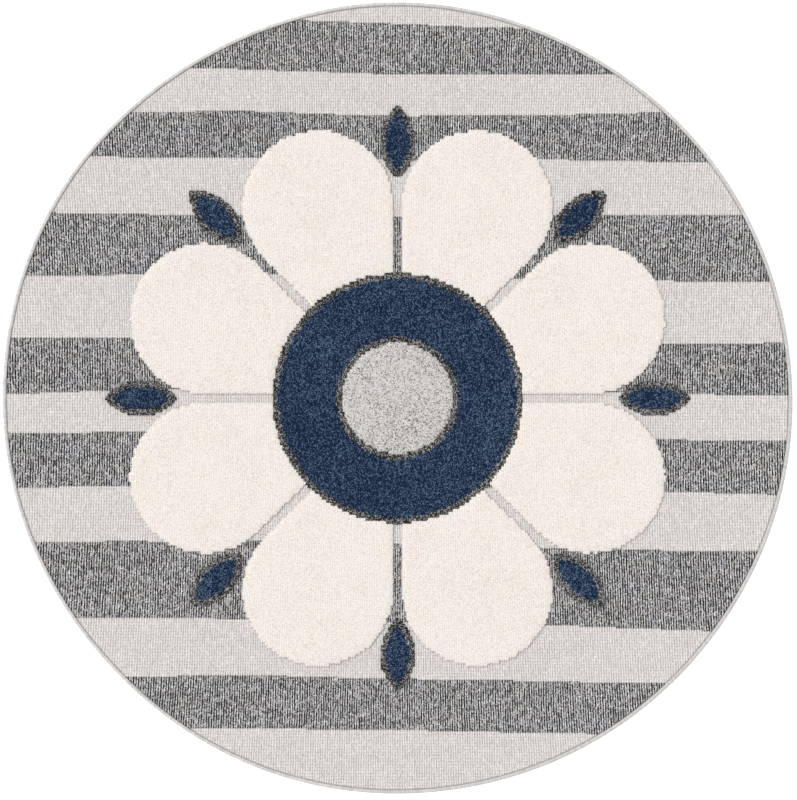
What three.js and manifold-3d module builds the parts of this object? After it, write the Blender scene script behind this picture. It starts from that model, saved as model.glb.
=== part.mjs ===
// Round woven rug with a raised flower of cut pile and an oversewn edge.
// Millimetres, +Z up. The origin is the middle of the underside, which lies flat on the floor.
import * as THREE from 'three';
import { mergeVertices } from 'three/addons/utils/BufferGeometryUtils.js';
import Module from 'manifold-3d';

// Driving dimensions of the cloth
const DIAMETER = 1200;
const GROUND_THICKNESS = 5;
const PILE_TOP = 11;
const OUTLINE_STEPS = 120;

// The cut edge isn't a true circle: each row adds a wave of so many lobes round it
const OUTLINE_WAVES = [
  { lobes: 2, cosine: -0.35, sine: -0.97 },
  { lobes: 3, cosine: -0.37, sine: 0.25 },
  { lobes: 4, cosine: 0.78, sine: -0.56 },
  { lobes: 5, cosine: -0.15, sine: 0.3 },
  { lobes: 6, cosine: -0.35, sine: 0.17 },
  { lobes: 7, cosine: 0.16, sine: -0.58 },
];

// Driving dimensions of the edge: the cloth is squeezed to a thin tongue where the yarn wraps it
const GAP = 0.3;
const BINDING_WIDTH = 7;
const BINDING_HEIGHT = 6.4;
const TONGUE_BOTTOM = 1.5;
const TONGUE_TOP = 4.3;
const YARN_BESIDE_TONGUE = 1.5;

// Driving dimensions of the flower
const PETALS = 8;
const PETAL_REACH = 430;
const PETAL_GAP = 14;
const PETAL_START = 150;
const DISC_RADIUS = 190;
const LEAF_INNER = 335;
const LEAF_OUTER = 445;
const LEAF_HALF_WIDTH = 26;
const PILE_ROOT = 2.5;
const PILE_ROUNDING = 1.5;
const PILE_ROUNDING_STEPS = 2;
const PETAL_ARC_STEPS = 12;
const LEAF_ARC_STEPS = 4;
const DISC_STEPS = 24;

// Worked out from the driving dimensions
const RADIUS = DIAMETER / 2;
const SECTOR = Math.PI / PETALS;
const PETAL_ROUND_CENTRE = (PETAL_REACH + PETAL_GAP / 2) / (1 + Math.sin(SECTOR));
const PETAL_ROUND_RADIUS = PETAL_REACH - PETAL_ROUND_CENTRE;

const CLOTH = new THREE.MeshStandardMaterial({ color: 0xd8d3cf, roughness: 0.95, metalness: 0 });
const YARN = new THREE.MeshStandardMaterial({ color: 0xc4c2c0, roughness: 0.9, metalness: 0 });

const wasm = await Module();
wasm.setup();

// Joining of closed meshes
function solidFrom(geometry) {
  const bare = geometry.index ? geometry.toNonIndexed() : geometry.clone();
  bare.deleteAttribute('normal');
  bare.deleteAttribute('uv');
  const merged = mergeVertices(bare, 1e-4);
  return new wasm.Manifold(new wasm.Mesh({
    numProp: 3,
    vertProperties: merged.getAttribute('position').array,
    triVerts: new Uint32Array(merged.index.array),
  }));
}

function geometryFrom(solid) {
  const mesh = solid.getMesh();
  const geometry = new THREE.BufferGeometry();
  geometry.setAttribute('position', new THREE.BufferAttribute(mesh.vertProperties, 3));
  geometry.setIndex(new THREE.BufferAttribute(mesh.triVerts, 1));
  geometry.computeVertexNormals();
  return geometry;
}

// How far the uneven edge reaches at an angle, as a share of the true radius
function outlineShare(angle) {
  let reach = RADIUS;
  for (const wave of OUTLINE_WAVES) {
    reach += wave.cosine * Math.cos(wave.lobes * angle);
    reach += wave.sine * Math.sin(wave.lobes * angle);
  }
  return reach / RADIUS;
}

// A flat slab that follows the uneven edge, so far in from it
function clothSlab(inset, bottom, top) {
  const corners = [];
  for (let step = 0; step < OUTLINE_STEPS; step += 1) {
    const angle = (step / OUTLINE_STEPS) * 2 * Math.PI;
    const reach = outlineShare(angle) * (RADIUS - inset);
    corners.push(new THREE.Vector2(reach * Math.cos(angle), reach * Math.sin(angle)));
  }
  const slab = new THREE.ExtrudeGeometry(new THREE.Shape(corners), {
    depth: top - bottom,
    bevelEnabled: false,
  });
  slab.translate(0, 0, bottom);
  return slab;
}

// Cut pile over an outline: rooted in the ground, with its top edge sheared round
function pileOver(outline, turn, curveSegments) {
  const pile = new THREE.ExtrudeGeometry(outline, {
    depth: PILE_TOP - PILE_ROOT - 2 * PILE_ROUNDING,
    bevelEnabled: true,
    bevelThickness: PILE_ROUNDING,
    bevelSize: PILE_ROUNDING,
    bevelOffset: -PILE_ROUNDING,
    bevelSegments: PILE_ROUNDING_STEPS,
    curveSegments,
  });
  pile.translate(0, 0, PILE_ROOT + PILE_ROUNDING);
  pile.rotateZ(turn);
  return pile;
}

// A petal along +X: two straight sides that widen from the middle, and a round end
function petalOutline() {
  const lean = Math.PI / 2 + SECTOR;
  const startHalfWidth = PETAL_START * Math.tan(SECTOR) - PETAL_GAP / 2 / Math.cos(SECTOR);
  const outline = new THREE.Shape();
  outline.moveTo(PETAL_START, startHalfWidth);
  outline.lineTo(PETAL_START, -startHalfWidth);
  outline.absarc(PETAL_ROUND_CENTRE, 0, PETAL_ROUND_RADIUS, -lean, lean, false);
  return outline;
}

// A leaf along +X: two equal arcs that meet in a point at each end
function leafOutline() {
  const half = (LEAF_OUTER - LEAF_INNER) / 2;
  const centre = (LEAF_OUTER + LEAF_INNER) / 2;
  const radius = (half * half + LEAF_HALF_WIDTH * LEAF_HALF_WIDTH) / (2 * LEAF_HALF_WIDTH);
  const drop = radius - LEAF_HALF_WIDTH;
  const sweep = Math.asin(half / radius);
  const upright = Math.PI / 2;
  const outline = new THREE.Shape();
  outline.absarc(centre, drop, radius, -upright - sweep, -upright + sweep, false);
  outline.absarc(centre, -drop, radius, upright - sweep, upright + sweep, false);
  return outline;
}

function discOutline() {
  const outline = new THREE.Shape();
  outline.absarc(0, 0, DISC_RADIUS, 0, 2 * Math.PI, false);
  return outline;
}

// The rug: ground, thin tongue at its rim, and the flower's pile, all woven as one piece
function rugField() {
  let cloth = solidFrom(clothSlab(BINDING_WIDTH + GAP, 0, GROUND_THICKNESS));
  const tongue = clothSlab(YARN_BESIDE_TONGUE + GAP, TONGUE_BOTTOM, TONGUE_TOP);
  cloth = cloth.add(solidFrom(tongue));
  cloth = cloth.add(solidFrom(pileOver(discOutline(), 0, DISC_STEPS)));
  for (let petal = 0; petal < PETALS; petal += 1) {
    const turn = 2 * SECTOR * petal;
    cloth = cloth.add(solidFrom(pileOver(petalOutline(), turn + SECTOR, PETAL_ARC_STEPS)));
    cloth = cloth.add(solidFrom(pileOver(leafOutline(), turn, LEAF_ARC_STEPS)));
  }
  const mesh = new THREE.Mesh(geometryFrom(cloth), CLOTH);
  mesh.name = 'rug_field';
  return mesh;
}

// The oversewn yarn: a C round the tongue, its foot on the floor
function edgeBinding() {
  const slotBottom = TONGUE_BOTTOM - GAP;
  const slotTop = TONGUE_TOP + GAP;
  const section = [
    { inset: BINDING_WIDTH, height: 0 },
    { inset: 1.7, height: 0 },
    { inset: 0.5, height: 0.9 },
    { inset: 0, height: 2.4 },
    { inset: 0, height: 3.8 },
    { inset: 0.7, height: 5.3 },
    { inset: 2.2, height: 6.2 },
    { inset: 3.8, height: BINDING_HEIGHT },
    { inset: 5.6, height: 6.1 },
    { inset: BINDING_WIDTH, height: 5.3 },
    { inset: BINDING_WIDTH, height: slotTop },
    { inset: YARN_BESIDE_TONGUE, height: slotTop },
    { inset: YARN_BESIDE_TONGUE, height: slotBottom },
    { inset: BINDING_WIDTH, height: slotBottom },
    { inset: BINDING_WIDTH, height: 0 },
  ];
  const profile = section.map((row) => new THREE.Vector2(RADIUS - row.inset, row.height));
  const ring = new THREE.LatheGeometry(profile, OUTLINE_STEPS);
  ring.rotateX(Math.PI / 2);
  const place = ring.getAttribute('position');
  for (let i = 0; i < place.count; i += 1) {
    const share = outlineShare(Math.atan2(place.getY(i), place.getX(i)));
    place.setXY(i, place.getX(i) * share, place.getY(i) * share);
  }
  const mesh = new THREE.Mesh(geometryFrom(solidFrom(ring)), YARN);
  mesh.name = 'edge_binding';
  return mesh;
}

const rug = new THREE.Group();
rug.name = 'round_striped_rug';
rug.add(rugField());
rug.add(edgeBinding());

export default rug;
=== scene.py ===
# Round woven rug: striped flat weave, a raised flower of cut pile and an oversewn edge. Metres, +Z up.
import math

import bmesh
import bpy
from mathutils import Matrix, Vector, noise


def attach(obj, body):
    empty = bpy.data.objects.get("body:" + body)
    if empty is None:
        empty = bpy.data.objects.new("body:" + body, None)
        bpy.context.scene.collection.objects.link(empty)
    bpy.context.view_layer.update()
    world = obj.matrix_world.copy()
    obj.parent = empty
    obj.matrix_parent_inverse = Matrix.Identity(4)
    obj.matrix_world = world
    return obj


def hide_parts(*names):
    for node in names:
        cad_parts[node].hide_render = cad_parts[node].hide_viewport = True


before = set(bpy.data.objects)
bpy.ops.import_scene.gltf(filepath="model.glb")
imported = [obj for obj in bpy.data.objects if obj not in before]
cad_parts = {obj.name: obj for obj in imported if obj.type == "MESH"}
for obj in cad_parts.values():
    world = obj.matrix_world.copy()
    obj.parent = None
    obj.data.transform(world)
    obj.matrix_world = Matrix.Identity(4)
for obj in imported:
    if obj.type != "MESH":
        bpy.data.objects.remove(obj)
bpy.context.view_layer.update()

# The cloth and its uneven cut edge
RADIUS = 0.600
GROUND_TOP = 0.005
OUTLINE_WAVES = (
    # lobes, cosine, sine
    (2, -0.00035, -0.00097),
    (3, -0.00037, 0.00025),
    (4, 0.00078, -0.00056),
    (5, -0.00015, 0.00030),
    (6, -0.00035, 0.00017),
    (7, 0.00016, -0.00058),
)

# The weave: ribs run along Y, closest together in the middle, and rows of weft run along X.
# A LAYER, a KEY and a WANDER_ROW only keep one noise or random number apart from another
RIBS = 324
RIB_PITCH = 0.003479
SPREAD_ASIDE = 0.16
SPREAD_ALONG = 0.19
ROW_PITCH = 0.0046
RIB_DEPTH = 0.0006
GROUND_ROWS = 76
UNEVEN_GROUND = 0.00025
UNEVEN_LENGTH = 0.11
UNEVEN_LAYER = 2.0

# The threads seen from above: each gap between two ribs is part of the pitch, and threads show as dashes
GAP_SHARE = 0.54
LONG_DASH = 1.5 * ROW_PITCH
SHORT_DASH = ROW_PITCH / 2
LONG_DASH_SHARE = 0.5
SHORT_DASH_KEY = 1000.0
DASH_SLIDE = 7.0
DASH_SLIDE_KEY = 5.0
THREAD_LEAN = 0.0012
LEAN_FINENESS = 18.0
THREAD_SWAY = 0.00095
SWAY_FINENESS = 110.0
FLECK_WIDTH = 0.0011
FLECK_LENGTH = 0.0013
PLY_PITCH = 0.0011
PLY_SLANT = 0.7
PLY_DEPTH = 0.12
FUZZ_SIZE = 0.0007
FUZZ_REACH = 0.0009
THREAD_RELIEF = 0.0003

# The cloth is squeezed into a thin tongue inside the oversewn edge
FLAT_INSET = 0.0072
END_SHORTFALL = 0.0001
RIM_FOLDS = (
    # inset from the edge, height: down beside the yarn, out along the tongue, and back under it
    (0.0068, 0.0036),
    (0.0065, 0.0030),
    (0.0018, 0.0030),
    (0.0018, 0.0015),
    (0.0081, 0.0015),
    (0.0081, 0.0000),
)

# Heights of the stripes' edges above and below the rug's middle, at five places along X
STRIPE_PLACES = (-0.480, -0.240, 0.0, 0.240, 0.480)
STRIPE_EDGES = (
    # from the top edge of a dark stripe to its bottom edge, and so on down the rug
    (0.581, 0.577, 0.569, 0.560, 0.555),
    (0.506, 0.500, 0.492, 0.492, 0.492),
    (0.433, 0.437, 0.428, 0.431, 0.436),
    (0.367, 0.366, 0.362, 0.362, 0.359),
    (0.281, 0.278, 0.276, 0.278, 0.278),
    (0.187, 0.189, 0.184, 0.180, 0.178),
    (0.093, 0.095, 0.090, 0.085, 0.084),
    (0.010, 0.016, 0.013, 0.009, 0.006),
    (-0.052, -0.050, -0.055, -0.061, -0.064),
    (-0.134, -0.131, -0.134, -0.138, -0.144),
    (-0.218, -0.216, -0.222, -0.228, -0.232),
    (-0.333, -0.335, -0.340, -0.345, -0.354),
    (-0.423, -0.421, -0.426, -0.430, -0.435),
    (-0.498, -0.501, -0.504, -0.509, -0.513),
)
STRIPE_STEP = ROW_PITCH / 2
STRIPE_WANDER = 0.0012
STRIPE_WANDER_LENGTH = 0.07
STRIPE_WANDER_ROW = 3.7
STRIPE_WANDER_LAYER = 0.5

# The flower in cut pile
PETALS = 8
SECTOR = math.pi / PETALS
PETAL_REACH = 0.430
PETAL_GAP = 0.014
PETAL_ROUND_CENTRE = (PETAL_REACH + PETAL_GAP / 2) / (1 + math.sin(SECTOR))
PETAL_ROUND_RADIUS = PETAL_REACH - PETAL_ROUND_CENTRE
PETAL_START = 0.150
DISC_RADIUS = 0.190
DISC_RIM = 0.009
CORE_RADIUS = 0.084
LEAF_INNER = 0.335
LEAF_OUTER = 0.445
LEAF_HALF_WIDTH = 0.026
LEAF_RIM = 0.008
PILE_ROOT = 0.0035
PILE_RINGS = (
    # how far the rim is drawn in, height: the pile flares out from its root, and its top edge is round
    (-0.0009, 0.0073),
    (0.0006, 0.0084),
)
PILE_CROWN = 0.0015
CROWN_STEPS = 4
CROWN_SOFTNESS = 0.5
TUFT_TIP = 0.0008
PILE_SPREAD = 0.0007
CORNER_SOFTNESS = 0.2
PILE_RAGGED = 0.0011
RAGGED_LENGTH = 0.0067
UNEVEN_PILE = 0.0003
YARNS_AT_RIM = 3
YARN_END_WIDTH = 0.0012
YARN_END_LENGTH = 0.0016
YARN_END_RIM = 0.75
YARN_END_CROWN = 0.1
FIBRE_SIZE = 0.0003

# How fine the noise is, in waves a metre, that moves a tuft's root, its rim, its tip and its height
ROOT_FINENESS = 290
RIM_FINENESS = 610
TIP_FINENESS = 700
HEIGHT_FINENESS = 900
TUFT_SEED = 5

# The oversewn edge
BINDING_SECTION = (
    # inset from the edge, height; the first rows bulge with each wrap of yarn
    (0.0070, 0.0000),
    (0.0017, 0.0000),
    (0.0005, 0.0009),
    (0.0000, 0.0024),
    (0.0000, 0.0038),
    (0.0006, 0.0052),
    (0.0019, 0.0061),
    (0.0034, 0.0064),
    (0.0048, 0.0060),
    (0.0056, 0.0049),
    (0.0058, 0.0033),
    (0.0015, 0.0033),
    (0.0015, 0.0012),
    (0.0070, 0.0012),
)
WRAPPED_ROWS = 11
WRAP_MIDDLE = (0.0035, 0.0032)
WRAPS = 1350
WRAP_STEPS = (0.0, 0.75, 1.0, 0.75)
WRAP_DEPTH = 0.0005
WRAP_LEAN = 0.0030
YARN_TWIST = 110.0
YARN_PLY_DEPTH = 0.5
HAIR_FINENESS = 1500.0
YARN_RELIEF = 0.0003

# Colours of the flat weave; each row is a dash's place from dark to pale, and its colour
DARK_RIB = (
    (0.0, (0.12, 0.115, 0.117, 1)),
    (0.3, (0.33, 0.32, 0.324, 1)),
    (0.5, (0.485, 0.473, 0.475, 1)),
    (1.0, (0.54, 0.528, 0.53, 1)),
)
DARK_GAP = (
    (0.0, (0.006, 0.005, 0.005, 1)),
    (0.53, (0.012, 0.011, 0.011, 1)),
    (0.61, (0.16, 0.155, 0.155, 1)),
    (1.0, (0.38, 0.37, 0.375, 1)),
)
LIGHT_RIB = (
    (0.0, (0.628, 0.595, 0.575, 1)),
    (1.0, (0.765, 0.726, 0.70, 1)),
)
LIGHT_GAP = (
    (0.0, (0.405, 0.382, 0.369, 1)),
    (0.5, (0.482, 0.456, 0.44, 1)),
    (1.0, (0.63, 0.598, 0.577, 1)),
)
STRIPE_SEAM = (0.27, 0.255, 0.24, 1)
SEAM_SHARE = 0.6
# Painted shade in the crevice beside the oversewn edge, on the cloth's folded rim and the edge yarn's
# inner rows
CREVICE_SHADE_COLOUR = (0.20, 0.18, 0.16, 1)
CREVICE_SHADE_SHARE = 0.22

# Distances into a dark stripe, at which dark threads start and the seam ends; gap threads start sooner
GAP_LEAD = 0.0010
DARK_START = 0.0002
SEAM_END = 0.0016

# Pairs of a factor and what is added: flecks, and how deep the weft rows are in the light stripes
DARK_FLECKS = (1.27, 0.32)
LIGHT_FLECKS = (0.36, 0.82)
LIGHT_ROW_DEPTH = (0.22, 0.06)
LIGHT_ROW_MEAN = 0.66

# Uneven dye: how far red, green and blue wander, and how strongly in each yarn; the pair is as above
DYE_WANDER = (1.4, 0.85, 2.05)
DYE_FINENESS = 42.0
WEAVE_DYE = (0.062, 0.026)
PILE_DYE = 0.045
BINDING_DYE = 0.03

# The cut pile: how much a whole tuft and a patch count in the choice of yarn, pairs as above for the
# relief of lines and fibres, which gives both bump and painted shade, and the mean of a line and the
# shade of a tip, which keep the colour even under that painted shade
TUFT_SHADE = 0.15
PATCH_SHADE = 0.3
PATCH_FINENESS = 9.0
LINE_RELIEF = (0.3, 0.8)
FIBRE_RELIEF = (0.8, 0.6)
LINE_MEAN = 0.64
TIP_SHADE = 1.06
PILE_RELIEF = 0.0004
# A yarn's crevice and lined set how much shade is painted between its ends and between its lines of
# tufts
PILE_YARNS = {
    "cream_pile": {
        "title": "Cream cut pile",
        "main": (0.947, 0.874, 0.82, 1),
        "other": (0.77, 0.695, 0.631, 1),
        "other_share": 0.27,
        "softness": 0.45,
        "crevice": 0.34,
        "sheen": 0.15,
        "lined": 0.11,
    },
    "navy_pile": {
        "title": "Navy cut pile",
        "main": (0.004, 0.017, 0.059, 1),
        "other": (0.145, 0.23, 0.35, 1),
        "other_share": 0.25,
        "softness": 0.4,
        "crevice": 0.8,
        "sheen": 0.05,
        "lined": 0.0,
    },
    "charcoal_pile": {
        "title": "Charcoal and grey mixed pile",
        "main": (0.022, 0.021, 0.021, 1),
        "other": (0.50, 0.487, 0.49, 1),
        "other_share": 0.31,
        "softness": 0.4,
        "crevice": 0.75,
        "sheen": 0.15,
        "lined": 0.0,
    },
    "grey_pile": {
        "title": "Light grey cut pile",
        "main": (0.78, 0.744, 0.718, 1),
        "other": (0.12, 0.114, 0.112, 1),
        "other_share": 0.26,
        "softness": 0.45,
        "crevice": 0.5,
        "sheen": 0.15,
        "lined": 0.0,
    },
}

# The edge yarn's two shades, and the rows of its section that turn down to the cloth, which darken with
# painted shade
BINDING_SHADES = (
    (0.0, (0.57, 0.549, 0.536, 1)),
    (1.0, (0.70, 0.676, 0.66, 1)),
)
INNER_START = 8.2
INNER_END = 9.4
INNER_SHARE = 0.2
SHADE_KEY = 1.0

# Floor and light
WHITE = (1, 1, 1, 1)
FLOOR_RADIUS = 6.0
FLOOR_SIDES = 96
FLOOR_FINENESS = 0.8
FLOOR_SHADES = (
    (0.0, (0.90, 0.90, 0.90, 1)),
    (1.0, (0.92, 0.92, 0.92, 1)),
)
FLOOR_GLOW = 0.25
WORLD_STRENGTH = 0.60
SUN_STRENGTH = 2.2
SUN_ANGLE = math.radians(15)
TOWARDS_SUN = (-0.35, 0.19, 1.0)

# The camera looks straight down; the photograph shows the rug a little up and left of its middle
CAMERA_HEIGHT = 6.0
CAMERA_PLACE = (0.0013, -0.0026)
FRAME_SIDE = 1.2154
SENSOR_SIDE = 36.0
FARTHEST_SEEN = 100

# Working values of the script; the last three are the places of a Mix node's colours
SOLVING_STEPS = 20
STRAIGHTENING_STEPS = 3
NEARLY_NOTHING = 1e-8
MERGE_DISTANCE = 1e-6
FIBRE_SHINE = 0.2
NOISE_MEAN = (0.5, 0.5, 0.5)
FIRST_COLOUR = 6
SECOND_COLOUR = 7
MIXED_COLOUR = 2


# Shape of the rug
def outline_reach(angle, inset=0.0):
    """How far the cut edge is from the rug's middle at an angle."""
    reach = RADIUS
    for lobes, cosine, sine in OUTLINE_WAVES:
        reach += cosine * math.cos(lobes * angle)
        reach += sine * math.sin(lobes * angle)
    return reach / RADIUS * (RADIUS - inset)


def rib_line(place, y):
    """X at height y of the rib that would stand at this place if all were even and straight."""
    return place * (1 + SPREAD_ASIDE * place * place + SPREAD_ALONG * y * y)


def even_place(x):
    """The place of the rib that crosses the rug's middle line at x."""
    place = x
    for _ in range(SOLVING_STEPS):
        place = x / (1 + SPREAD_ASIDE * place * place)
    return place


def chord_end(place, side, inset):
    """Height at which a rib leaves the cloth, at its top (side 1) or bottom (side -1)."""
    y = side * math.sqrt(max(RADIUS * RADIUS - place * place, NEARLY_NOTHING))
    for _ in range(SOLVING_STEPS):
        x = rib_line(place, y)
        reach = outline_reach(math.atan2(y, x), inset)
        y = side * math.sqrt(max(reach * reach - x * x, NEARLY_NOTHING))
    return y


def finished_object(name, bm, smooth=True):
    """Makes an object of a bmesh, at the origin, and frees the bmesh."""
    mesh = bpy.data.meshes.new(name)
    bm.to_mesh(mesh)
    bm.free()
    if smooth:
        mesh.shade_smooth()
    piece = bpy.data.objects.new(name, mesh)
    bpy.context.scene.collection.objects.link(piece)
    return piece


# Stripes
def stripe_edge_height(heights, x, edge):
    """Height of one stripe edge at x, stepped as the weave steps it."""
    place = 0
    while place < len(STRIPE_PLACES) - 2 and x > STRIPE_PLACES[place + 1]:
        place += 1
    share = (x - STRIPE_PLACES[place]) / (STRIPE_PLACES[place + 1] - STRIPE_PLACES[place])
    height = heights[place] + share * (heights[place + 1] - heights[place])
    along = Vector((x / STRIPE_WANDER_LENGTH, edge * STRIPE_WANDER_ROW, STRIPE_WANDER_LAYER))
    height += STRIPE_WANDER * noise.noise(along)
    return round(height / STRIPE_STEP) * STRIPE_STEP


def depth_in_dark_stripe(y, heights):
    """Distance to the nearest stripe edge: positive inside a dark stripe, negative in a light one."""
    above = sum(1 for height in heights if y < height)
    nearest = min(abs(y - height) for height in heights)
    return nearest if above % 2 else -nearest


# Ground
def ground_height(x, y, column):
    """Top of the flat weave: ribs and slight unevenness."""
    rib = 0.0 if column % 2 else -RIB_DEPTH
    spot = Vector((x / UNEVEN_LENGTH, y / UNEVEN_LENGTH, UNEVEN_LAYER))
    drift = UNEVEN_GROUND * noise.noise(spot)
    return GROUND_TOP - UNEVEN_GROUND + rib + drift


def column_place(column, columns):
    """Place of a column of the ground's grid: half a rib apart, but the outer two lie at the rim."""
    if column == 0:
        return even_place(END_SHORTFALL - outline_reach(math.pi, FLAT_INSET))
    if column == columns:
        return even_place(outline_reach(0.0, FLAT_INSET) - END_SHORTFALL)
    return (column - RIBS) * RIB_PITCH / 2


def make_ground():
    """The flat weave, ribbed on top, with its rim folded in to a tongue and its underside closed."""
    bm = bmesh.new()
    columns = 2 * RIBS
    bmesh.ops.create_grid(bm, x_segments=columns, y_segments=GROUND_ROWS, size=1.0)
    stripe = bm.verts.layers.float.new("dark_depth")
    # 1 on the folded rim, where shade is painted into the cloth beside the oversewn edge
    crevice = bm.verts.layers.float.new("crevice")
    by_column = {}
    for vert in bm.verts:
        by_column.setdefault(round((vert.co.x + 1) / 2 * columns), []).append(vert)
    for column, verts in by_column.items():
        place = column_place(column, columns)
        top = chord_end(place, 1, FLAT_INSET)
        bottom = chord_end(place, -1, FLAT_INSET)
        heights = []
        for edge, row in enumerate(STRIPE_EDGES):
            x = rib_line(place, row[len(row) // 2])
            heights.append(stripe_edge_height(row, x, edge))
        for vert in verts:
            y = bottom + (top - bottom) * (vert.co.y + 1) / 2
            x = rib_line(place, y)
            vert.co = (x, y, ground_height(x, y, column))
            vert[stripe] = depth_in_dark_stripe(y, heights)
    close_underside(bm, crevice)
    return finished_object("woven_ground", bm)


def close_underside(bm, crevice):
    """Folds the rim down, out along the tongue and back under it, then closes the underside."""
    rim = [edge for edge in bm.edges if edge.is_boundary]
    reached = FLAT_INSET
    for inset, height in RIM_FOLDS:
        for edge in rim:
            edge.smooth = False
        made = bmesh.ops.extrude_edge_only(bm, edges=rim)
        rim = [g for g in made["geom"] if isinstance(g, bmesh.types.BMEdge) and g.is_boundary]
        share = (RADIUS - inset) / (RADIUS - reached)
        for vert in {vert for edge in rim for vert in edge.verts}:
            vert.co = (vert.co.x * share, vert.co.y * share, height)
            # The folded rim takes painted shade
            vert[crevice] = 1.0
        reached = inset
    bmesh.ops.contextual_create(bm, geom=rim)
    bmesh.ops.recalc_face_normals(bm, faces=bm.faces[:])


# Flower
def pile_colour(x, y):
    """Which pile stands at a place, or None where the flat weave shows."""
    reach = math.hypot(x, y)
    if reach < DISC_RADIUS:
        if reach < CORE_RADIUS:
            return "grey_pile"
        if reach < CORE_RADIUS + DISC_RIM or reach > DISC_RADIUS - DISC_RIM:
            return "charcoal_pile"
        return "navy_pile"
    angle = math.atan2(y, x)
    petal_angle = (angle % (2 * SECTOR)) - SECTOR
    if inside_petal(reach * math.cos(petal_angle), abs(reach * math.sin(petal_angle))):
        return "cream_pile"
    leaf_angle = (angle + SECTOR) % (2 * SECTOR) - SECTOR
    depth = depth_in_leaf(reach * math.cos(leaf_angle), abs(reach * math.sin(leaf_angle)))
    if depth > LEAF_RIM:
        return "navy_pile"
    if depth > 0:
        return "charcoal_pile"
    return None


def ragged_colour(place):
    """The pile at a place when the edges between colours wander a little from tuft to tuft."""
    astray = place + noise.noise_vector(place / RAGGED_LENGTH) * PILE_RAGGED
    return pile_colour(astray.x, astray.y)


def inside_petal(along, aside):
    """Whether a place lies in the petal along an axis: so far along it, and so far aside."""
    if along < PETAL_START:
        return False
    if math.hypot(along - PETAL_ROUND_CENTRE, aside) < PETAL_ROUND_RADIUS:
        return True
    straight_end = PETAL_ROUND_CENTRE - PETAL_ROUND_RADIUS * math.sin(SECTOR)
    half_width = along * math.tan(SECTOR) - PETAL_GAP / 2 / math.cos(SECTOR)
    return along < straight_end and aside < half_width


def depth_in_leaf(along, aside):
    """Distance to the edge of the leaf along an axis, positive inside it."""
    half = (LEAF_OUTER - LEAF_INNER) / 2
    middle = (LEAF_OUTER + LEAF_INNER) / 2
    radius = (half * half + LEAF_HALF_WIDTH * LEAF_HALF_WIDTH) / (2 * LEAF_HALF_WIDTH)
    return radius - math.hypot(along - middle, aside + radius - LEAF_HALF_WIDTH)


def make_pile(name):
    """The tufts of one colour: one closed piece, stepped like the weave; its middle row lies on X."""
    bm = bmesh.new()
    columns = 2 * math.ceil(LEAF_OUTER / RIB_PITCH)
    rows = 2 * math.ceil(LEAF_OUTER / ROW_PITCH) + 1
    bmesh.ops.create_grid(bm, x_segments=columns, y_segments=rows, size=0.5)
    width = columns * RIB_PITCH
    depth = rows * ROW_PITCH
    bmesh.ops.scale(bm, verts=bm.verts[:], vec=(width, depth, 1))
    for vert in bm.verts:
        vert.co.x = rib_line(vert.co.x, vert.co.y)
    other = [face for face in bm.faces if ragged_colour(face.calc_center_median()) != name]
    bmesh.ops.delete(bm, geom=other, context="FACES")
    rim = [edge for edge in bm.edges if edge.is_boundary]
    corners = list({vert for edge in rim for vert in edge.verts})
    bmesh.ops.smooth_vert(bm, verts=corners, factor=CORNER_SOFTNESS, use_axis_x=True, use_axis_y=True)
    bmesh.ops.bisect_edges(bm, edges=rim, cuts=YARNS_AT_RIM - 1)
    spread_tufts(bm.verts, ROOT_FINENESS, PILE_ROOT)
    top = bm.faces[:]
    for inset, height in PILE_RINGS:
        bmesh.ops.inset_region(bm, faces=top, thickness=inset, use_boundary=True)
        spread_tufts({vert for face in top for vert in face.verts}, RIM_FINENESS, height)
    crown_top(bm, set(top))
    made = bmesh.ops.poke(bm, faces=top, offset=TUFT_TIP, center_mode="MEAN")
    for vert in made["verts"]:
        vert.co += noise.noise_vector(vert.co * TIP_FINENESS) * UNEVEN_PILE
    rim = [edge for edge in bm.edges if edge.is_boundary]
    bmesh.ops.triangle_fill(bm, use_beauty=False, edges=rim)
    bmesh.ops.recalc_face_normals(bm, faces=bm.faces[:])
    return finished_object(name, bm)


def crown_top(bm, top):
    """Raises the sheared top within its rim, and lets it fall away softly towards the rim."""
    inner = [vert for vert in bm.verts if all(face in top for face in vert.link_faces)]
    for vert in inner:
        vert.co.z += PILE_CROWN
    for _ in range(CROWN_STEPS):
        bmesh.ops.smooth_vert(bm, verts=inner, factor=CROWN_SOFTNESS, use_axis_z=True)


def spread_tufts(verts, fineness, height):
    """Puts the tufts at a height and lets each lean its own way."""
    for vert in verts:
        vert.co += noise.noise_vector(vert.co * fineness) * PILE_SPREAD
        vert.co.z = height + UNEVEN_PILE * noise.noise(vert.co * HEIGHT_FINENESS)


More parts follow.
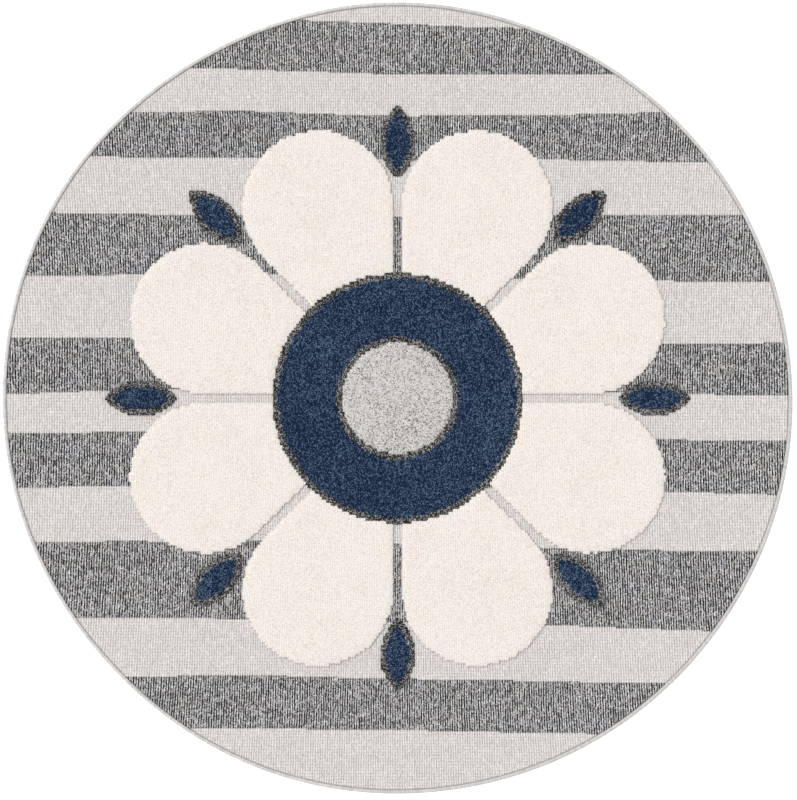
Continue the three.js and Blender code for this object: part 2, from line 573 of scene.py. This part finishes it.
# Oversewn edge
def make_binding():
    """A closed band round the cloth's edge, which bulges with each wrap of yarn."""
    bm = bmesh.new()
    steps = len(WRAP_STEPS) * WRAPS
    rows = len(BINDING_SECTION)
    bm.loops.layers.uv.new("wraps")
    bmesh.ops.create_grid(bm, x_segments=steps, y_segments=rows, size=0.5, calc_uvs=True)
    for vert in bm.verts:
        step = round((vert.co.x + 0.5) * steps)
        row = round((vert.co.y + 0.5) * rows) % rows
        inset, height = BINDING_SECTION[row]
        angle = 2 * math.pi * step / steps
        if row < WRAPPED_ROWS:
            if height > 0:
                sunk = WRAP_DEPTH * (1 - WRAP_STEPS[step % len(WRAP_STEPS)]) / WRAP_MIDDLE[1]
                inset += sunk * (WRAP_MIDDLE[0] - inset)
                height += sunk * (WRAP_MIDDLE[1] - height)
            angle += WRAP_LEAN * (row / WRAPPED_ROWS - 0.5) / RADIUS
        reach = outline_reach(angle, inset)
        vert.co = (reach * math.cos(angle), reach * math.sin(angle), height)
    bmesh.ops.remove_doubles(bm, verts=bm.verts[:], dist=MERGE_DISTANCE)
    bmesh.ops.recalc_face_normals(bm, faces=bm.faces[:])
    return finished_object("oversewn_edge", bm)


# Shader helpers
def feed(tree, socket, value):
    """Gives a socket a number, vector or colour, or links another node's output to it."""
    if isinstance(value, bpy.types.NodeSocket):
        tree.links.new(value, socket)
    else:
        socket.default_value = value


def calc(tree, operation, *terms):
    """One Math node; each term is a number or another node's output."""
    maths = tree.nodes.new("ShaderNodeMath")
    maths.operation = operation
    for socket, term in zip(maths.inputs, terms):
        feed(tree, socket, term)
    return maths.outputs["Value"]


def blend(tree, share, first, second, mode="MIX"):
    """One colour Mix node."""
    mix = tree.nodes.new("ShaderNodeMix")
    mix.data_type = "RGBA"
    mix.blend_type = mode
    feed(tree, mix.inputs["Factor"], share)
    feed(tree, mix.inputs[FIRST_COLOUR], first)
    feed(tree, mix.inputs[SECOND_COLOUR], second)
    return mix.outputs[MIXED_COLOUR]


def ramp(tree, share, stops):
    """One Color Ramp; stops are (place, colour)."""
    colours = tree.nodes.new("ShaderNodeValToRGB")
    band = colours.color_ramp
    while len(band.elements) < len(stops):
        band.elements.new(0.5)
    for element, (place, colour) in zip(band.elements, stops):
        element.position = place
        element.color = colour
    feed(tree, colours.inputs["Fac"], share)
    return colours.outputs["Color"]


def vector_of(tree, x, y, z=0.0):
    """A vector of three numbers or outputs."""
    joined = tree.nodes.new("ShaderNodeCombineXYZ")
    for socket, value in zip(joined.inputs, (x, y, z)):
        feed(tree, socket, value)
    return joined.outputs["Vector"]


def soft_noise(tree, place, fineness, detail=2.0, output="Fac"):
    """One Noise Texture with so many waves a metre; gives a number, or its Color output."""
    cloud = tree.nodes.new("ShaderNodeTexNoise")
    feed(tree, cloud.inputs["Vector"], place)
    cloud.inputs["Scale"].default_value = fineness
    cloud.inputs["Detail"].default_value = detail
    return cloud.outputs[output]


def vector_calc(tree, operation, *terms):
    """One Vector Math node; each term is a vector or another node's output."""
    maths = tree.nodes.new("ShaderNodeVectorMath")
    maths.operation = operation
    for socket, term in zip(maths.inputs, terms):
        feed(tree, socket, term)
    return maths.outputs["Vector"]


def fuzzed(tree, place):
    """Shifts places a little to and fro, so what is drawn with them has hairy edges."""
    cloud = soft_noise(tree, place, 1 / FUZZ_SIZE, output="Color")
    centred = vector_calc(tree, "SUBTRACT", cloud, NOISE_MEAN)
    return vector_calc(tree, "MULTIPLY_ADD", centred, (FUZZ_REACH, FUZZ_REACH, 0.0), place)


def cells(tree, place, width, length):
    """Uneven cells of a given size; returns a random shade and the distance from a cell's middle."""
    cell = tree.nodes.new("ShaderNodeTexVoronoi")
    cell.voronoi_dimensions = "2D"
    sized = vector_calc(tree, "MULTIPLY", place, (1 / width, 1 / length, 1.0))
    feed(tree, cell.inputs["Vector"], sized)
    cell.inputs["Scale"].default_value = 1.0
    channels = tree.nodes.new("ShaderNodeSeparateXYZ")
    feed(tree, channels.inputs[0], cell.outputs["Color"])
    return channels.outputs["X"], cell.outputs["Distance"]


def random_of(tree, x, y):
    """A random number for each pair of whole numbers."""
    white = tree.nodes.new("ShaderNodeTexWhiteNoise")
    white.noise_dimensions = "2D"
    feed(tree, white.inputs["Vector"], vector_of(tree, x, y))
    return white.outputs["Value"]


def spread(tree, value, low, high):
    """Maps a value to 0 at low and 1 at high, and keeps it so beyond them."""
    scaled = tree.nodes.new("ShaderNodeMapRange")
    feed(tree, scaled.inputs["Value"], value)
    feed(tree, scaled.inputs["From Min"], low)
    feed(tree, scaled.inputs["From Max"], high)
    return scaled.outputs["Result"]


def shader_group(name, inputs, outputs):
    """A node group with named sockets; returns it, what it is given, and where its results go."""
    group = bpy.data.node_groups.new(name, "ShaderNodeTree")
    for label, kind in inputs:
        group.interface.new_socket(name=label, in_out="INPUT", socket_type=kind)
    for label, kind in outputs:
        group.interface.new_socket(name=label, in_out="OUTPUT", socket_type=kind)
    source = group.nodes.new("NodeGroupInput")
    result = group.nodes.new("NodeGroupOutput")
    return group, source.outputs, result.inputs


def use_group(tree, group, **values):
    """Places a group in a material or another group; values are given by socket name."""
    placed = tree.nodes.new("ShaderNodeGroup")
    placed.node_tree = group
    for label, value in values.items():
        feed(tree, placed.inputs[label], value)
    return placed.outputs


def new_material(name, roughness, sheen):
    """A material with one Principled shader; returns it, its tree, the shader and the object place."""
    material = bpy.data.materials.new(name)
    material.use_nodes = True
    tree = material.node_tree
    tree.nodes.clear()
    shader = tree.nodes.new("ShaderNodeBsdfPrincipled")
    shader.inputs["Roughness"].default_value = roughness
    shader.inputs["Sheen Weight"].default_value = sheen
    shader.inputs["Specular IOR Level"].default_value = FIBRE_SHINE
    output = tree.nodes.new("ShaderNodeOutputMaterial")
    tree.links.new(shader.outputs["BSDF"], output.inputs["Surface"])
    place = tree.nodes.new("ShaderNodeTexCoord").outputs["Object"]
    return material, tree, shader, place


def attribute(tree, name):
    """A number stored in the mesh."""
    stored = tree.nodes.new("ShaderNodeAttribute")
    stored.attribute_name = name
    return stored.outputs["Fac"]


def bump(tree, shader, height, distance):
    """Fine relief, in which a height of 1 stands so many metres high."""
    relief = tree.nodes.new("ShaderNodeBump")
    relief.inputs["Strength"].default_value = 1.0
    relief.inputs["Distance"].default_value = distance
    feed(tree, relief.inputs["Height"], height)
    tree.links.new(relief.outputs["Normal"], shader.inputs["Normal"])


# Shared effects
def rib_group():
    """Turns a place on the rug into its place in an evenly spaced weave, as even_place does."""
    group, given, result = shader_group(
        "Ribs set straight",
        [("Place", "NodeSocketVector")],
        [("Place", "NodeSocketVector")],
    )
    parts = group.nodes.new("ShaderNodeSeparateXYZ")
    feed(group, parts.inputs[0], given["Place"])
    x, y = parts.outputs["X"], parts.outputs["Y"]
    along = calc(group, "MULTIPLY_ADD", calc(group, "MULTIPLY", y, y), SPREAD_ALONG, 1.0)
    even = calc(group, "DIVIDE", x, along)
    for _ in range(STRAIGHTENING_STEPS):
        squared = calc(group, "MULTIPLY", even, even)
        stretch = calc(group, "MULTIPLY_ADD", squared, SPREAD_ASIDE, along)
        even = calc(group, "DIVIDE", x, stretch)
    feed(group, result["Place"], vector_of(group, even, y, parts.outputs["Z"]))
    return group


def thread_group(ribs):
    """Threads of the flat weave: ribs and the gaps between them, broken into dashes and flecks."""
    group, given, result = shader_group(
        "Threads of the weave",
        [("Place", "NodeSocketVector")],
        [
            ("Gap", "NodeSocketFloat"),
            ("Dash", "NodeSocketFloat"),
            ("Fleck", "NodeSocketFloat"),
            ("Row", "NodeSocketFloat"),
            ("Relief", "NodeSocketFloat"),
        ],
    )
    hairy = fuzzed(group, use_group(group, ribs, Place=given["Place"])["Place"])
    parts = group.nodes.new("ShaderNodeSeparateXYZ")
    feed(group, parts.inputs[0], hairy)
    x, y = parts.outputs["X"], parts.outputs["Y"]
    lean = soft_noise(group, given["Place"], LEAN_FINENESS, detail=1.0)
    lean = calc(group, "MULTIPLY_ADD", lean, 2 * THREAD_LEAN, -THREAD_LEAN)
    sway = soft_noise(group, given["Place"], SWAY_FINENESS, detail=1.0)
    sway = calc(group, "MULTIPLY_ADD", sway, 2 * THREAD_SWAY, -THREAD_SWAY)
    shift = calc(group, "ADD", lean, sway)
    across = calc(group, "DIVIDE", calc(group, "ADD", x, shift), RIB_PITCH)
    gap_number = calc(group, "ROUND", across)
    rib_number = calc(group, "ADD", calc(group, "FLOOR", across), 0.5)
    from_gap = calc(group, "ABSOLUTE", calc(group, "SUBTRACT", across, gap_number))
    gap = calc(group, "LESS_THAN", from_gap, GAP_SHARE / 2)
    to_gap = calc(group, "SUBTRACT", gap_number, rib_number)
    thread = calc(group, "MULTIPLY_ADD", gap, to_gap, rib_number)
    slide = calc(group, "MULTIPLY", random_of(group, thread, DASH_SLIDE_KEY), DASH_SLIDE)
    long_dash = calc(group, "FLOOR", calc(group, "MULTIPLY_ADD", y, 1 / LONG_DASH, slide))
    short_dash = calc(group, "FLOOR", calc(group, "MULTIPLY_ADD", y, 1 / SHORT_DASH, slide))
    long_shade = calc(group, "MULTIPLY", random_of(group, thread, long_dash), LONG_DASH_SHARE)
    short_thread = calc(group, "ADD", thread, SHORT_DASH_KEY)
    short_shade = random_of(group, short_thread, short_dash)
    dash = calc(group, "MULTIPLY_ADD", short_shade, 1.0 - LONG_DASH_SHARE, long_shade)
    fleck, _ = cells(group, hairy, FLECK_WIDTH, FLECK_LENGTH)
    along = calc(group, "MULTIPLY", y, math.pi / ROW_PITCH)
    row = calc(group, "ABSOLUTE", calc(group, "SINE", along))
    rib_middle = spread(group, from_gap, GAP_SHARE / 2, 0.5)
    gap_middle = spread(group, from_gap, GAP_SHARE / 2, 0.0)
    middle = calc(group, "MAXIMUM", rib_middle, gap_middle)
    round_top = calc(group, "MULTIPLY", middle, calc(group, "SUBTRACT", 2.0, middle))
    round_top = calc(group, "SQRT", round_top)
    slanted = calc(group, "ADD", x, calc(group, "MULTIPLY", y, PLY_SLANT))
    twist = calc(group, "MULTIPLY_ADD", slanted, 2 * math.pi / PLY_PITCH, thread)
    plies = calc(group, "MULTIPLY_ADD", calc(group, "SINE", twist), PLY_DEPTH, calc(group, "SQRT", row))
    feed(group, result["Gap"], gap)
    feed(group, result["Dash"], dash)
    feed(group, result["Fleck"], fleck)
    feed(group, result["Row"], row)
    feed(group, result["Relief"], calc(group, "MULTIPLY", plies, round_top))
    return group


def tuft_group(ribs):
    """Cut pile: a shade for each yarn end and each tuft, the ends' round tips, and soft patches."""
    group, given, result = shader_group(
        "Cut tufts",
        [("Place", "NodeSocketVector")],
        [
            ("End", "NodeSocketFloat"),
            ("Tuft", "NodeSocketFloat"),
            ("Tip", "NodeSocketFloat"),
            ("Line", "NodeSocketFloat"),
            ("Patch", "NodeSocketFloat"),
        ],
    )
    hairy = fuzzed(group, use_group(group, ribs, Place=given["Place"])["Place"])
    parts = group.nodes.new("ShaderNodeSeparateXYZ")
    feed(group, parts.inputs[0], hairy)
    column = calc(group, "FLOOR", calc(group, "DIVIDE", parts.outputs["X"], RIB_PITCH))
    row = calc(group, "ROUND", calc(group, "DIVIDE", parts.outputs["Y"], ROW_PITCH))
    end, from_end = cells(group, hairy, YARN_END_WIDTH, YARN_END_LENGTH)
    fibres = soft_noise(group, given["Place"], 1 / FIBRE_SIZE, detail=1.0)
    across = calc(group, "MULTIPLY", parts.outputs["X"], math.pi / RIB_PITCH)
    line = calc(group, "ABSOLUTE", calc(group, "SINE", across))
    raised = calc(group, "MULTIPLY_ADD", line, *LINE_RELIEF)
    brushed = calc(group, "MULTIPLY", calc(group, "MULTIPLY_ADD", fibres, *FIBRE_RELIEF), raised)
    tip = calc(group, "MULTIPLY", spread(group, from_end, YARN_END_RIM, YARN_END_CROWN), brushed)
    feed(group, result["End"], end)
    feed(group, result["Tuft"], random_of(group, column, row))
    feed(group, result["Tip"], tip)
    feed(group, result["Line"], line)
    feed(group, result["Patch"], soft_noise(group, given["Place"], PATCH_FINENESS, detail=3.0))
    return group


def tint_group():
    """Faint warm and cool patches, as dyed yarn shows: a tint close to white."""
    group, given, result = shader_group(
        "Uneven dye",
        [("Place", "NodeSocketVector"), ("Strength", "NodeSocketFloat")],
        [("Tint", "NodeSocketColor")],
    )
    cloud = soft_noise(group, given["Place"], DYE_FINENESS, output="Color")
    centred = vector_calc(group, "SUBTRACT", cloud, NOISE_MEAN)
    patches = vector_calc(group, "MULTIPLY_ADD", centred, DYE_WANDER, (1.0, 1.0, 1.0))
    feed(group, result["Tint"], blend(group, given["Strength"], WHITE, patches))
    return group


# Materials
def flat_weave_material(threads, dye):
    """Light and dark stripes of ribs and gaps, with a plainer seam just inside each dark stripe and
    painted shade in the crevice at the rim.
    """
    material, tree, shader, place = new_material("Striped flat weave", roughness=0.9, sheen=0.1)
    weave = use_group(tree, threads, Place=place)
    dark_rib = ramp(tree, weave["Dash"], DARK_RIB)
    dark_gap = ramp(tree, weave["Dash"], DARK_GAP)
    dark = blend(tree, weave["Gap"], dark_rib, dark_gap)
    dark_fleck = calc(tree, "MULTIPLY_ADD", weave["Fleck"], *DARK_FLECKS)
    dark = blend(tree, 1.0, dark, dark_fleck, "MULTIPLY")
    light_rib = ramp(tree, weave["Dash"], LIGHT_RIB)
    light_gap = ramp(tree, weave["Dash"], LIGHT_GAP)
    light = blend(tree, weave["Gap"], light_rib, light_gap)
    light_fleck = calc(tree, "MULTIPLY_ADD", weave["Fleck"], *LIGHT_FLECKS)
    row_depth = calc(tree, "MULTIPLY_ADD", weave["Gap"], *LIGHT_ROW_DEPTH)
    off_mean = calc(tree, "SUBTRACT", weave["Row"], LIGHT_ROW_MEAN)
    light_row = calc(tree, "MULTIPLY_ADD", off_mean, row_depth, 1.0)
    light_shade = calc(tree, "MULTIPLY", light_fleck, light_row)
    light = blend(tree, 1.0, light, light_shade, "MULTIPLY")
    reach = calc(tree, "MULTIPLY_ADD", weave["Gap"], GAP_LEAD, attribute(tree, "dark_depth"))
    in_dark = calc(tree, "GREATER_THAN", reach, DARK_START)
    in_seam = calc(tree, "LESS_THAN", reach, SEAM_END)
    seam = blend(tree, SEAM_SHARE, dark, STRIPE_SEAM)
    dark = blend(tree, in_seam, dark, seam)
    colour = blend(tree, in_dark, light, dark)
    # Painted shade in the crevice beside the oversewn edge, on the folded rim
    crevice_shade = calc(tree, "MULTIPLY", attribute(tree, "crevice"), CREVICE_SHADE_SHARE)
    colour = blend(tree, crevice_shade, colour, CREVICE_SHADE_COLOUR)
    strength = calc(tree, "MULTIPLY_ADD", in_dark, *WEAVE_DYE)
    tint = use_group(tree, dye, Place=place, Strength=strength)["Tint"]
    feed(tree, shader.inputs["Base Color"], blend(tree, 1.0, colour, tint, "MULTIPLY"))
    bump(tree, shader, weave["Relief"], THREAD_RELIEF)
    return material


def pile_material(tufts, dye, yarn):
    """Cut pile of a main yarn with some of another, with shade painted between its ends and its lines of
    tufts.
    """
    material, tree, shader, place = new_material(yarn["title"], roughness=1.0, sheen=yarn["sheen"])
    pile = use_group(tree, tufts, Place=place)
    tint = use_group(tree, dye, Place=place, Strength=PILE_DYE)["Tint"]
    end_shade = calc(tree, "MULTIPLY", pile["End"], 1.0 - TUFT_SHADE)
    mixed = calc(tree, "MULTIPLY_ADD", pile["Tuft"], TUFT_SHADE, end_shade)
    mixed = calc(tree, "SUBTRACT", mixed, PATCH_SHADE / 2)
    mixed = calc(tree, "MULTIPLY_ADD", pile["Patch"], PATCH_SHADE, mixed)
    turn = 1.0 - yarn["other_share"]
    softness = yarn["softness"]
    share = spread(tree, mixed, turn - softness / 2, turn + softness / 2)
    colour = blend(tree, share, yarn["main"], yarn["other"])
    # Painted shade between the yarn ends and between the lines of tufts
    crevice = yarn["crevice"]
    depth = calc(tree, "MULTIPLY_ADD", pile["Tip"], crevice, TIP_SHADE - crevice)
    lined = yarn["lined"]
    line_shade = calc(tree, "MULTIPLY_ADD", pile["Line"], lined, 1.0 - LINE_MEAN * lined)
    depth = calc(tree, "MULTIPLY", depth, line_shade)
    colour = blend(tree, 1.0, colour, depth, "MULTIPLY")
    feed(tree, shader.inputs["Base Color"], blend(tree, 1.0, colour, tint, "MULTIPLY"))
    bump(tree, shader, pile["Tip"], PILE_RELIEF)
    return material


def binding_material(dye):
    """Twisted yarn, each wrap of its own shade, with shade painted where it turns down to the cloth."""
    material, tree, shader, place = new_material("Oversewn grey yarn", roughness=0.85, sheen=0.2)
    tint = use_group(tree, dye, Place=place, Strength=BINDING_DYE)["Tint"]
    wraps = tree.nodes.new("ShaderNodeUVMap")
    wraps.uv_map = "wraps"
    parts = tree.nodes.new("ShaderNodeSeparateXYZ")
    feed(tree, parts.inputs[0], wraps.outputs["UV"])
    wrap = calc(tree, "MULTIPLY", parts.outputs["X"], WRAPS)
    shade = random_of(tree, calc(tree, "FLOOR", wrap), SHADE_KEY)
    colour = ramp(tree, shade, BINDING_SHADES)
    # Painted shade on the inner rows, where the yarn turns down into the crevice
    rows = calc(tree, "MULTIPLY", parts.outputs["Y"], len(BINDING_SECTION))
    inner = calc(tree, "MULTIPLY", spread(tree, rows, INNER_START, INNER_END), INNER_SHARE)
    colour = blend(tree, inner, colour, CREVICE_SHADE_COLOUR)
    turned = calc(tree, "MULTIPLY", wrap, 2 * math.pi)
    twist = calc(tree, "MULTIPLY_ADD", parts.outputs["Y"], YARN_TWIST, turned)
    plies = calc(tree, "MULTIPLY", calc(tree, "SINE", twist), YARN_PLY_DEPTH)
    hairs = calc(tree, "ADD", plies, soft_noise(tree, place, HAIR_FINENESS, detail=3.0))
    feed(tree, shader.inputs["Base Color"], blend(tree, 1.0, colour, tint, "MULTIPLY"))
    bump(tree, shader, hairs, YARN_RELIEF)
    return material


def floor_material():
    """Plain white that glows a little, as a lit photo table does."""
    material, tree, shader, place = new_material("Plain white floor", roughness=0.8, sheen=0.0)
    colour = ramp(tree, soft_noise(tree, place, FLOOR_FINENESS), FLOOR_SHADES)
    feed(tree, shader.inputs["Base Color"], colour)
    shader.inputs["Emission Color"].default_value = WHITE
    shader.inputs["Emission Strength"].default_value = FLOOR_GLOW
    return material


# Stage, light and camera
def make_floor(material):
    bm = bmesh.new()
    bmesh.ops.create_circle(bm, cap_ends=True, segments=FLOOR_SIDES, radius=FLOOR_RADIUS)
    floor = finished_object("plain_floor", bm, smooth=False)
    floor.data.materials.append(material)


def make_light():
    world = bpy.data.worlds.new("Even studio light")
    world.use_nodes = True
    background = world.node_tree.nodes["Background"]
    background.inputs["Color"].default_value = WHITE
    background.inputs["Strength"].default_value = WORLD_STRENGTH
    bpy.context.scene.world = world
    sun = bpy.data.lights.new("Soft key from the upper left", "SUN")
    sun.energy = SUN_STRENGTH
    sun.angle = SUN_ANGLE
    key = bpy.data.objects.new(sun.name, sun)
    key.rotation_euler = Vector(TOWARDS_SUN).to_track_quat("Z", "Y").to_euler()
    bpy.context.scene.collection.objects.link(key)


def make_camera():
    lens = bpy.data.cameras.new("Straight down")
    lens.sensor_width = SENSOR_SIDE
    lens.lens = SENSOR_SIDE * (CAMERA_HEIGHT - GROUND_TOP) / FRAME_SIDE
    lens.clip_end = FARTHEST_SEEN
    camera = bpy.data.objects.new("Straight down", lens)
    camera.location = (*CAMERA_PLACE, CAMERA_HEIGHT)
    bpy.context.scene.collection.objects.link(camera)
    bpy.context.scene.camera = camera


# Without a seed of its own, noise_vector gives other tufts on each run
noise.seed_set(TUFT_SEED)

make_camera()
make_light()
make_floor(floor_material())

ribs = rib_group()
threads = thread_group(ribs)
tufts = tuft_group(ribs)
dye = tint_group()

ground = make_ground()
ground.data.materials.append(flat_weave_material(threads, dye))
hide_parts("rug_field")
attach(ground, "root")

for name, yarn in PILE_YARNS.items():
    pile = make_pile(name)
    pile.data.materials.append(pile_material(tufts, dye, yarn))
    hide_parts("rug_field")
    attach(pile, "root")

binding = make_binding()
binding.data.materials.append(binding_material(dye))
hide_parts("edge_binding")
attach(binding, "root")

bpy.context.scene.view_settings.view_transform = "Standard"
